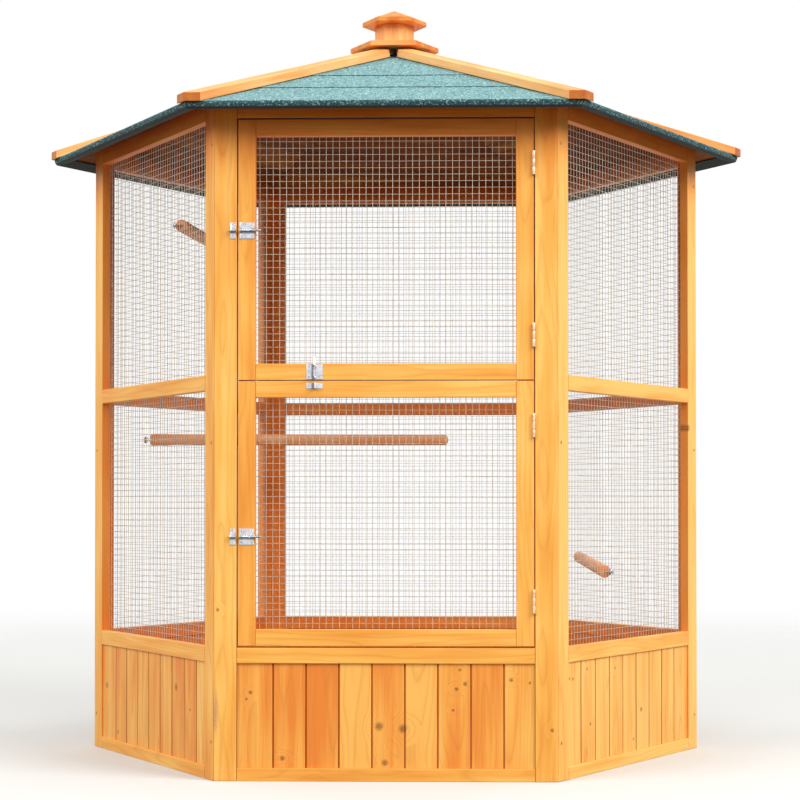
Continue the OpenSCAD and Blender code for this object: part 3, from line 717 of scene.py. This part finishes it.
outline = feltOutline()
bm = bmesh.new()
shares = [-1 + 2 * i / feltLook["across"] for i in range(feltLook["across"] + 1)]
for sixths in range(6):
    turn = Matrix.Rotation(sixth * sixths, 3, "Z")
    rows = []
    for share in shares:
        row = []
        for s, h, top in outline:
            p = slopePoint(s, h, share, feltGap, turn) * feltLook["waves"]
            sag = (noise.noise(p) * 0.5 + 0.5) * feltLook["wave"] if top else 0
            row.append(bm.verts.new(slopePoint(s, h - sag, share, feltGap, turn)))
        rows.append(row)
    skinRows(bm, rows)
bmesh.ops.recalc_face_normals(bm, faces=bm.faces)
if bm.calc_volume(signed=True) < 0:
    bmesh.ops.reverse_faces(bm, faces=bm.faces)
feltMesh = meshFrom(bm, "feltSheets")
wornAndShaded, under = [], []
inwards, steep = feltLook["turnedIn"]
for face in feltMesh.polygons:
    # darker the more a face turns from straight up: worn grit and painted shade
    wornAndShaded.append(min(1.0, max(0.0, (feltLook["wornAndShadedFrom"] - face.normal.z) / feltLook["wornAndShadedOver"])))
    facesIn = face.normal.dot(outwards([face.center])) < inwards and face.normal.z < steep
    under.append(float(facesIn or face.normal.z < feltLook["turnedUnder"]))
keepValues(feltMesh, "wornAndShaded", "FACE", wornAndShaded)
keepValues(feltMesh, "under", "FACE", under)
smoothUpTo(feltMesh, feltLook["smoothTo"])
replaceNode("feltSheets", feltMesh, "roof_felt", mineralFelt)
print("felt laid:", len(feltMesh.polygons), "faces")


def newTree(name, sockets):
    tree = bpy.data.node_groups.new(name, "GeometryNodeTree")
    tree.is_modifier = True
    for label, kind in sockets.items():
        tree.interface.new_socket(label, in_out="INPUT", socket_type="NodeSocket" + kind)
    tree.interface.new_socket("Geometry", in_out="OUTPUT", socket_type="NodeSocketGeometry")
    return tree, addNode(tree, "NodeGroupInput").outputs


def finishTree(tree, grown, material):
    solid = addNode(tree, "GeometryNodeRealizeInstances", {0: grown})
    finished = addNode(tree, "GeometryNodeSetMaterial", {"Geometry": solid, "Material": material})
    addNode(tree, "NodeGroupOutput", {0: finished})
    return tree


def grow(tree, values, place):
    holder = addObject("holder", bpy.data.meshes.new("holder"))
    modifier = holder.modifiers.new("grow", "NODES")
    modifier.node_group = tree
    for item in tree.interface.items_tree:
        if item.in_out == "INPUT" and item.name in values:
            modifier[item.identifier] = values[item.name]
    graph = bpy.context.evaluated_depsgraph_get()
    mesh = bpy.data.meshes.new_from_object(holder.evaluated_get(graph), depsgraph=graph)
    holder.modifiers.remove(modifier)
    bpy.data.objects.remove(holder)
    mesh.transform(place)
    return mesh


# Welded mesh: uprights against the frame, level wires behind them, a weld where they cross.
meshLook = {"pitch": 0.014, "wire": 0.0011, "sides": 6, "bends": 14, "sway": 0.0016, "swaying": 6.0,
            "levelBack": 0.9, "weldBack": 0.45, "weld": 0.95, "seed": 7}


def weldedMeshTree():
    tree, given = newTree("weldedMesh", {"Width": "Float", "Height": "Float", "Pitch": "Float",
                                         "Wire": "Float", "Sway": "Float", "Seed": "Int"})
    counts, spans = {}, {}
    for label in ("Width", "Height"):
        cells = addNode(tree, "Math", {0: given[label], 1: given["Pitch"]}, operation="DIVIDE")
        whole = addNode(tree, "Math", {0: cells}, operation="FLOOR")
        counts[label] = addNode(tree, "Math", {0: whole, 1: 1.0}, operation="ADD")
        spans[label] = addNode(tree, "Math", {0: whole, 1: given["Pitch"]}, operation="MULTIPLY")
    where = addNode(tree, "GeometryNodeInputPosition")
    seeded = addNode(tree, "CombineXYZ", {1: given["Seed"]})
    shift = addNode(tree, "VectorMath", {0: where, 1: seeded}, operation="ADD")
    sway = addNode(tree, "TexNoise", {"Vector": shift, "Scale": meshLook["swaying"], "Detail": 1.0})
    level = addNode(tree, "VectorMath", {0: sway.outputs["Color"], 1: (0.5, 0.5, 0.5)}, operation="SUBTRACT")
    swayBy = addNode(tree, "VectorMath", {0: level, "Scale": given["Sway"]}, operation="SCALE")
    thin, behind, size = [addNode(tree, "Math", {0: given["Wire"], 1: share}, operation="MULTIPLY")
                          for share in (0.5, meshLook["weldBack"], meshLook["weld"])]
    section = addNode(tree, "GeometryNodeCurvePrimitiveCircle", {"Resolution": meshLook["sides"],
                      "Radius": thin})
    joined = addNode(tree, "GeometryNodeJoinGeometry")
    for label, other, along, setBack in (("Width", "Height", 2, 0.0),
                                         ("Height", "Width", 0, meshLook["levelBack"])):
        start, low, high, back = [addNode(tree, "Math", {0: length, 1: share}, operation="MULTIPLY")
                                  for length, share in ((spans[label], -0.5), (given[other], -0.5),
                                                        (given[other], 0.5), (given["Wire"], setBack))]
        first = addNode(tree, "CombineXYZ", {2 - along: start, 1: back})
        step = addNode(tree, "CombineXYZ", {2 - along: given["Pitch"]})
        row = addNode(tree, "GeometryNodeMeshLine", {"Count": counts[label], "Start Location": first,
                      "Offset": step})
        low = addNode(tree, "CombineXYZ", {along: low})
        high = addNode(tree, "CombineXYZ", {along: high})
        wire = addNode(tree, "GeometryNodeCurvePrimitiveLine", {"Start": low, "End": high})
        wires = addNode(tree, "GeometryNodeInstanceOnPoints", {"Points": row, "Instance": wire})
        wires = addNode(tree, "GeometryNodeRealizeInstances", {0: wires})
        wires = addNode(tree, "GeometryNodeResampleCurve", {"Curve": wires, "Count": meshLook["bends"]})
        wires = addNode(tree, "GeometryNodeSetPosition", {"Geometry": wires, "Offset": swayBy})
        tubes = addNode(tree, "GeometryNodeCurveToMesh", {"Curve": wires, "Profile Curve": section,
                        "Fill Caps": True})
        setInputs(tree, joined, {0: tubes})
    crossings = addNode(tree, "GeometryNodeMeshGrid", {"Size X": spans["Width"], "Size Y": spans["Height"],
                        "Vertices X": counts["Width"], "Vertices Y": counts["Height"]})
    behind = addNode(tree, "CombineXYZ", {1: behind})
    upright = addNode(tree, "GeometryNodeTransform", {"Geometry": crossings, "Translation": behind,
                      "Rotation": (math.pi / 2, 0, 0)})
    upright = addNode(tree, "GeometryNodeSetPosition", {"Geometry": upright, "Offset": swayBy})
    bead = addNode(tree, "GeometryNodeMeshUVSphere", {"Segments": 4, "Rings": 2, "Radius": size})
    welds = addNode(tree, "GeometryNodeInstanceOnPoints", {"Points": upright, "Instance": bead})
    setInputs(tree, joined, {0: welds})
    return finishTree(tree, joined, dullZinc)


def joinMeshes(name, meshes):
    bm = bmesh.new()
    for mesh in meshes:
        bm.from_mesh(mesh)
    return meshFrom(bm, name)


def islandBoxes(node):
    inverse = frameOf(node).inverted()
    bm = copyOf(node)
    bmesh.ops.remove_doubles(bm, verts=bm.verts, dist=meshing["merge"])
    boxes = []
    for island in islandsOf(bm):
        points = [inverse @ v.co for v in island]
        low = Vector([min(p[i] for p in points) for i in range(3)])
        high = Vector([max(p[i] for p in points) for i in range(3)])
        boxes.append((low, high))
    bm.free()
    return boxes


meshTree = weldedMeshTree()
for number, node in enumerate(n for n in nodes if n.endswith("_mesh")):
    grids = []
    for low, high in islandBoxes(node):
        middle = (low + high) / 2
        middle.y = low.y + meshLook["wire"] / 2
        values = {"Width": high.x - low.x, "Height": high.z - low.z, "Pitch": meshLook["pitch"],
                  "Wire": meshLook["wire"], "Sway": meshLook["sway"], "Seed": meshLook["seed"] + number}
        grids.append(grow(meshTree, values, frameOf(node) @ Matrix.Translation(middle)))
    wireMesh = joinMeshes(node + "_wires", grids)
    wireMesh.shade_smooth()
    replaceNode(node + "_wires", wireMesh, node, dullZinc)
print("welded mesh grown:", len(wireMesh.polygons), "faces in the last one")


# A painted shadow lies on the bolts' plates below a rod, or left of the upright one.
rodShadowLook = {"from": (-0.008, -0.005, -0.001, 0.0), "share": (0.0, 0.7, 0.85, 0.0), "below": 0.85,
             "wide": 0.03, "high": 0.06}
rodMiddles = {bolt: sum(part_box(bolt), Vector()) / 2 for bolt in ("upper_bolt", "middle_bolt", "lower_bolt")}


def rodShadowShare(point):
    upright = rodMiddles["middle_bolt"]
    offset = min((point.z - rodMiddles[bolt].z for bolt in ("upper_bolt", "lower_bolt")), key=abs)
    if abs(point.x - upright.x) < rodShadowLook["wide"] and abs(point.z - upright.z) < rodShadowLook["high"]:
        offset = point.x - upright.x
    return float(np.interp(offset, rodShadowLook["from"], rodShadowLook["share"]))


def cutAlong(bm, way, place):
    middle, normal = Vector(), Vector()
    middle[way], normal[way] = place, 1
    everything = bm.verts[:] + bm.edges[:] + bm.faces[:]
    bmesh.ops.bisect_plane(bm, geom=everything, plane_co=middle, plane_no=normal)


# Ironmongery: edges eased, round parts smooth.
steelLook = {"ease": 0.0003, "easeFrom": 40, "smoothTo": 35}


def metalFromNode(node):
    bm = copyOf(node)
    mergeFlat(bm)
    plated = "bolt_plate" in node or "keeper" in node
    if plated:
        for offset in rodShadowLook["from"]:
            cutAlong(bm, 0, rodMiddles["middle_bolt"].x + offset)
            for bolt in ("upper_bolt", "lower_bolt"):
                cutAlong(bm, 2, rodMiddles[bolt].z + offset)
    easeEdges(bm, steelLook["ease"], steelLook["easeFrom"])
    mesh = meshFrom(bm, node + "_steel")
    # Painted shade on faces that look down.
    shadedUnderside = [rodShadowLook["below"] * min(1.0, max(0.0, -f.normal.z / metalLook["undersideShadeFull"]))
               for f in mesh.polygons]
    keepValues(mesh, "shadedUnderside", "FACE", shadedUnderside)
    keepValues(mesh, "rodShadow", "POINT", [rodShadowShare(v.co) if plated else 0.0 for v in mesh.vertices])
    smoothUpTo(mesh, steelLook["smoothTo"])
    replaceNode(node + "_steel", mesh, node, hingeZinc if "hinge" in node else brightZinc)


for node in nodes:
    if slotOf[node] == "zinc_steel":
        metalFromNode(node)
print("ironmongery eased")

# Screws: a low head with a cross recess, its axis along Y and its face to -Y.
screwLook = {"sides": 20, "arm": 0.62, "blade": 0.16, "dome": 0.82, "taper": 0.8, "rise": 0.0004,
             "sunk": 0.0012}


def crossHead(radius):
    bm = bmesh.new()
    rise, taper = screwLook["rise"], screwLook["taper"]
    angles = [2 * math.pi * i / screwLook["sides"] for i in range(screwLook["sides"])]
    rings = []
    for r, y in ((radius, 0.0), (radius * screwLook["dome"], -rise)):
        rings.append([bm.verts.new((r * math.cos(a), y, r * math.sin(a))) for a in angles])
    arm, blade = radius * screwLook["arm"], radius * screwLook["blade"]
    quarter = [(arm, -blade), (arm, blade), (blade, blade)]
    plus = []
    for turnBy in range(4):
        for x, z in quarter:
            for step in range(turnBy):
                x, z = -z, x
            plus.append((x, z))
    top = [bm.verts.new((x, -rise, z)) for x, z in plus]
    floor = [bm.verts.new((x * taper, -rise + screwLook["sunk"], z * taper)) for x, z in plus]
    for i in range(len(angles)):
        bm.faces.new((rings[0][i - 1], rings[0][i], rings[1][i], rings[1][i - 1]))
    rim = [bm.edges.get((rings[1][i - 1], rings[1][i])) for i in range(len(angles))]
    slot = [bm.edges.new((top[i - 1], top[i])) for i in range(len(top))]
    bmesh.ops.triangle_fill(bm, use_beauty=True, edges=rim + slot)
    for i in range(len(top)):
        bm.faces.new((top[i - 1], top[i], floor[i], floor[i - 1]))
    bm.faces.new(floor)
    bm.faces.new(rings[0])
    bmesh.ops.recalc_face_normals(bm, faces=bm.faces)
    return addObject("screw", meshFrom(bm, "screw"))


def screwTree():
    tree, given = newTree("screwRows", {"Screw": "Object", "Span X": "Float", "Span Z": "Float",
                                        "Columns": "Int", "Rows": "Int", "Seed": "Int"})
    grid = addNode(tree, "GeometryNodeMeshGrid", {"Size X": given["Span X"], "Size Y": given["Span Z"],
                   "Vertices X": given["Columns"], "Vertices Y": given["Rows"]})
    upright = addNode(tree, "GeometryNodeTransform", {"Geometry": grid, "Rotation": (math.pi / 2, 0, 0)})
    turned = addNode(tree, "FunctionNodeRandomValue", {3: math.pi, "Seed": given["Seed"]}, data_type="FLOAT")
    angle = addNode(tree, "CombineXYZ", {1: turned.outputs[1]})
    angle = addNode(tree, "FunctionNodeEulerToRotation", {0: angle})
    head = addNode(tree, "GeometryNodeObjectInfo", {"Object": given["Screw"]})
    heads = addNode(tree, "GeometryNodeInstanceOnPoints", {"Points": upright, "Rotation": angle,
                    "Instance": head.outputs["Geometry"]})
    return finishTree(tree, heads, brightZinc)


screwRows = screwTree()
fixings = {"frameScrew": 0.0038, "inset": 0.014, "lowest": 0.080, "step": 0.628, "plateScrew": 0.0026,
           "plate": 0.0012, "plateInset": 0.005, "pairFrom": 0.008}
frameScrew, plateScrew = crossHead(fixings["frameScrew"]), crossHead(fixings["plateScrew"])
sideLength = 2 * apothem * math.tan(sixth / 2)
heads = []
for side in ("front_right", "back", "front_left"):
    middle = Vector((0, 0, fixings["lowest"] + fixings["step"]))
    values = {"Screw": frameScrew, "Span X": sideLength - 2 * fixings["inset"],
              "Span Z": 2 * fixings["step"], "Columns": 2, "Rows": 3, "Seed": turnsOf[side]}
    heads.append(grow(screwRows, values, panelFrame(turnsOf[side]) @ Matrix.Translation(middle)))
addPiece("frameScrews", joinMeshes("frameScrews", heads), nodes["front_stiles"]["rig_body"], "zinc_steel",
         yellowZinc)
for node in ("upper_door_bolt_plates", "lower_door_bolt_plate", "frame_keepers", "middle_keeper"):
    heads = []
    for number, (low, high) in enumerate(islandBoxes(node)):
        middle = (low + high) / 2
        middle.y = -fixings["plate"]
        wide, tall = [high[way] - low[way] - 2 * fixings["plateInset"] for way in (0, 2)]
        values = {"Screw": plateScrew, "Span X": max(wide, 0.0), "Span Z": max(tall, 0.0),
                  "Columns": 2 if wide > fixings["pairFrom"] else 1,
                  "Rows": 2 if tall > fixings["pairFrom"] else 1, "Seed": number}
        heads.append(grow(screwRows, values, panelFrame(0) @ Matrix.Translation(middle)))
    name = node + "_screws"
    addPiece(name, joinMeshes(name, heads), nodes[node]["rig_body"], slotOf[node], brightZinc)
for screw in (frameScrew, plateScrew):
    bpy.data.objects.remove(screw)
print("screws driven")


# A plain pale floor, and soft light mostly from above, as under a bright cloudy sky. What the
# camera and reflections see of both is pale; what lights the object is darker.
def seenDirectly(tree):
    path = addNode(tree, "LightPath").outputs
    seen = addNode(tree, "Math", {0: path["Is Camera Ray"], 1: path["Is Glossy Ray"]}, operation="ADD")
    return addNode(tree, "Math", {0: seen, 1: path["Is Transmission Ray"]}, operation="ADD", use_clamp=True)


floorLook = {"half": 9.0, "colour": "#D2D2CF", "bounce": "#7C7F6C", "fade": (2.0, 7.0), "rough": 0.9}
floorMaterial, floorTree, floorShader = newMaterial("paleFloor")
floorTone = addNode(floorTree, "Mix", {0: seenDirectly(floorTree), 6: linear(floorLook["bounce"]),
                    7: linear(floorLook["colour"])}, data_type="RGBA")
floorPlace = addNode(floorTree, "TexCoord").outputs["Object"]
floorReach = addNode(floorTree, "VectorMath", {0: floorPlace}, operation="LENGTH")
near, far = floorLook["fade"]
fade = addNode(floorTree, "MapRange", {0: floorReach.outputs["Value"], 1: near, 2: far, 3: 1.0, 4: 0.0},
               interpolation_type="SMOOTHSTEP")
setInputs(floorTree, floorShader, {"Base Color": floorTone.outputs[2], "Alpha": fade,
                                   "Roughness": floorLook["rough"]})
floorMesh = bpy.data.meshes.new("floor")
half = floorLook["half"]
corners = [(-half, -half, 0), (half, -half, 0), (half, half, 0), (-half, half, 0)]
floorMesh.from_pydata(corners, [], [(0, 1, 2, 3)])
floorMesh.materials.append(floorMaterial)
addObject("floor", floorMesh)

lights = {"left": {"at": (-4.2, -4.0, 4.6), "size": 3.5, "power": 198},
          "right": {"at": (4.8, -3.6, 4.8), "size": 3.5, "power": 365}}
lightsAim = Vector((0, 0, 0.9))
for name, light in lights.items():
    lamp = bpy.data.lights.new(name, "AREA")
    lamp.size = light["size"]
    lamp.energy = light["power"]
    holder = addObject(name, lamp)
    holder.location = light["at"]
    holder.rotation_euler = (lightsAim - holder.location).to_track_quat("-Z", "Y").to_euler()

skyLook = {"glowFrom": 0.0, "glowTo": 0.38, "low": 0.06, "high": 1.12}
world = bpy.data.worlds.new("sky")
bpy.context.scene.world = world
world.use_nodes = True
sky = world.node_tree
sky.nodes.clear()
facing = addNode(sky, "TexCoord").outputs["Generated"]
height = addNode(sky, "SeparateXYZ", {0: facing}).outputs[2]
glow = addNode(sky, "MapRange", {0: height, 1: skyLook["glowFrom"], 2: skyLook["glowTo"],
               3: skyLook["low"], 4: skyLook["high"]}, interpolation_type="SMOOTHSTEP")
soft = addNode(sky, "Background", {"Color": (1, 1, 1, 1), "Strength": glow})
white = addNode(sky, "Background", {"Color": (1, 1, 1, 1), "Strength": 1.0})
both = addNode(sky, "MixShader", {0: seenDirectly(sky), 1: soft, 2: white})
addNode(sky, "OutputWorld", {"Surface": both})

cameraLook = {"at": (0.146, -4.926, 0.577), "up": 90.9, "turn": 1.545, "lens": 92.66, "shift": 0.091}
cameraData = bpy.data.cameras.new("camera")
cameraData.sensor_width = 36.0
cameraData.lens = cameraLook["lens"]
cameraData.shift_y = cameraLook["shift"]
camera = addObject("camera", cameraData)
camera.location = cameraLook["at"]
camera.rotation_euler = (math.radians(cameraLook["up"]), 0, math.radians(cameraLook["turn"]))
bpy.context.scene.camera = camera
bpy.context.scene.view_settings.view_transform = "Standard"
print("stage, light and camera set")
